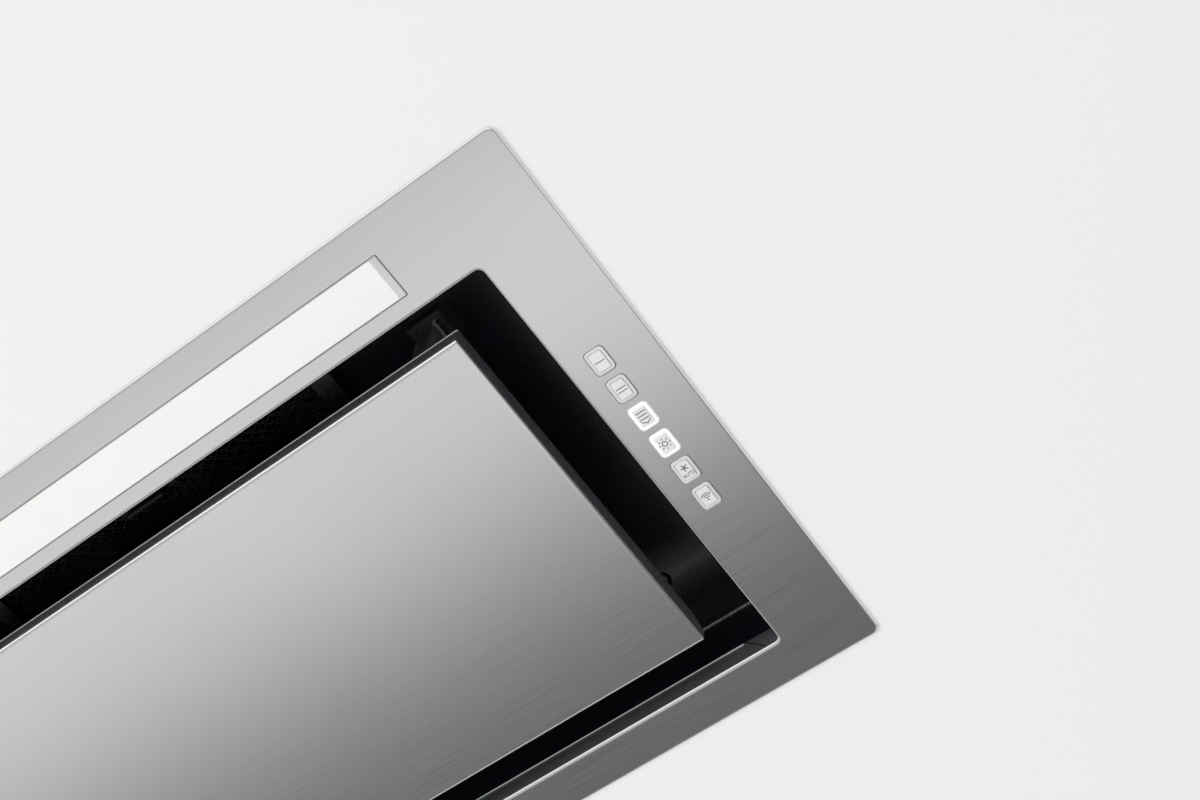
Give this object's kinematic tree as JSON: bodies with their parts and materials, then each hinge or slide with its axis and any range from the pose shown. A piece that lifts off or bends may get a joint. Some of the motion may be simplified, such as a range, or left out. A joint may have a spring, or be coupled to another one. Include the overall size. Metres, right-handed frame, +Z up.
{
  "type": "built-in canopy hood",
  "caption": "Built-in canopy hood with a hinged perimeter panel, an LED strip, push buttons, grease filters, a double inlet blower and a round outlet with flaps.",
  "frame": {"origin": "middle of the seat plane, where the rim of the trim flange meets the board that the hood is fitted in", "axes": "+X to the user's right along the long side, +Y from the user to the back, +Z up into the cut-out"},
  "size_m": [0.722, 0.292, 0.3182],
  "materials": {
    "stainless": "brushed stainless sheet",
    "galvanised": "galvanised sheet",
    "zinc": "zinc plated",
    "black_paint": "gloss black powder coat",
    "spring_steel": "spring steel strip",
    "diffuser": "opal diffuser",
    "aluminium": "plain aluminium",
    "white_board": "white circuit board",
    "white_plastic": "moulded, satin",
    "light_guide": "translucent moulded",
    "black_plastic": "moulded, satin",
    "green_board": "circuit board",
    "magnet": "plated",
    "mesh": "expanded aluminium mesh",
    "grey_plastic": "moulded, satin",
    "motor_paint": "satin",
    "rubber": "moulded",
    "dark_screw": "blackened",
    "silver_cap": "silver, satin"
  },
  "bodies": {
    "root": {"trim_frame": "stainless", "frame_studs": "zinc", "stud_nuts": "zinc", "canopy_box": "black_paint", "side_clips": "spring_steel", "led_lens": "diffuser", "led_channel": "aluminium", "led_board": "white_board", "led_driver": "white_plastic", "button_light_frames": "light_guide", "button_carrier": "black_plastic", "control_board": "green_board", "tact_switches": "black_plastic", "hinge_brackets": "galvanised", "hinge_pins": "zinc", "magnet_holders": "black_plastic", "catch_magnets": "magnet", "filter_frame_left": "aluminium", "filter_frame_right": "aluminium", "filter_mesh_left": "mesh", "filter_mesh_right": "mesh", "filter_rail": "black_paint", "filter_keeper": "black_paint", "motor_casing": "galvanised", "casing_lid": "galvanised", "sheet_screws": "zinc", "scroll_left": "black_plastic", "scroll_right": "black_plastic", "outlet_duct": "black_plastic", "motor_body": "motor_paint", "motor_mounts": "rubber", "motor_bracket": "galvanised", "bracket_screws": "zinc", "outlet_collar": "black_plastic", "flap_pin": "zinc", "electronics_box": "galvanised", "electronics_cover": "galvanised", "main_board": "green_board", "terminal_block": "white_plastic", "run_capacitor": "white_plastic", "cable_gland": "black_plastic", "ceiling_screws": "dark_screw", "motor_lead": "rubber"},
    "panel": {"panel_tray": "stainless", "panel_stiffeners": "galvanised", "hinge_arms": "galvanised", "catch_posts": "galvanised"},
    "impeller": {"impeller": "grey_plastic", "motor_shaft": "zinc"},
    "flap_front": {"flap_front": "grey_plastic"},
    "flap_back": {"flap_back": "grey_plastic"},
    "filter_latch_left": {"filter_latch_left": "black_plastic"},
    "filter_latch_right": {"filter_latch_right": "black_plastic"},
    "button_1": {"button_1": "silver_cap"},
    "button_2": {"button_2": "silver_cap"},
    "button_3": {"button_3": "silver_cap"},
    "button_4": {"button_4": "silver_cap"},
    "button_5": {"button_5": "silver_cap"},
    "button_6": {"button_6": "silver_cap"}
  },
  "joints": [
    {"name": "panel_hinge", "type": "hinge", "parent": "root", "child": "panel", "pos_m": [0, 0.0928, 0.014], "axis": [1, 0, 0], "range_deg": [0, 85]},
    {"name": "impeller_spin", "type": "hinge", "parent": "root", "child": "impeller", "pos_m": [0, -0.028, 0.16324], "axis": [1, 0, 0], "continuous": true},
    {"name": "flap_front_hinge", "type": "hinge", "parent": "root", "child": "flap_front", "pos_m": [0, 0.03265, 0.28747], "axis": [-1, 0, 0], "range_deg": [0, 75]},
    {"name": "flap_back_hinge", "type": "hinge", "parent": "root", "child": "flap_back", "pos_m": [0, 0.03265, 0.28747], "axis": [1, 0, 0], "range_deg": [0, 75]},
    {"name": "filter_latch_left_slide", "type": "slide", "parent": "root", "child": "filter_latch_left", "axis": [0, 1, 0], "range_m": [0, 0.005], "stiffness_N_per_m": 400, "springref_m": -0.002},
    {"name": "filter_latch_right_slide", "type": "slide", "parent": "root", "child": "filter_latch_right", "axis": [0, 1, 0], "range_m": [0, 0.005], "stiffness_N_per_m": 400, "springref_m": -0.002},
    {"name": "button_1_press", "type": "slide", "parent": "root", "child": "button_1", "axis": [0, 0, 1], "range_m": [0, 0.0008], "stiffness_N_per_m": 800, "springref_m": -0.0006},
    {"name": "button_2_press", "type": "slide", "parent": "root", "child": "button_2", "axis": [0, 0, 1], "range_m": [0, 0.0008], "stiffness_N_per_m": 800, "springref_m": -0.0006},
    {"name": "button_3_press", "type": "slide", "parent": "root", "child": "button_3", "axis": [0, 0, 1], "range_m": [0, 0.0008], "stiffness_N_per_m": 800, "springref_m": -0.0006},
    {"name": "button_4_press", "type": "slide", "parent": "root", "child": "button_4", "axis": [0, 0, 1], "range_m": [0, 0.0008], "stiffness_N_per_m": 800, "springref_m": -0.0006},
    {"name": "button_5_press", "type": "slide", "parent": "root", "child": "button_5", "axis": [0, 0, 1], "range_m": [0, 0.0008], "stiffness_N_per_m": 800, "springref_m": -0.0006},
    {"name": "button_6_press", "type": "slide", "parent": "root", "child": "button_6", "axis": [0, 0, 1], "range_m": [0, 0.0008], "stiffness_N_per_m": 800, "springref_m": -0.0006}
  ]
}
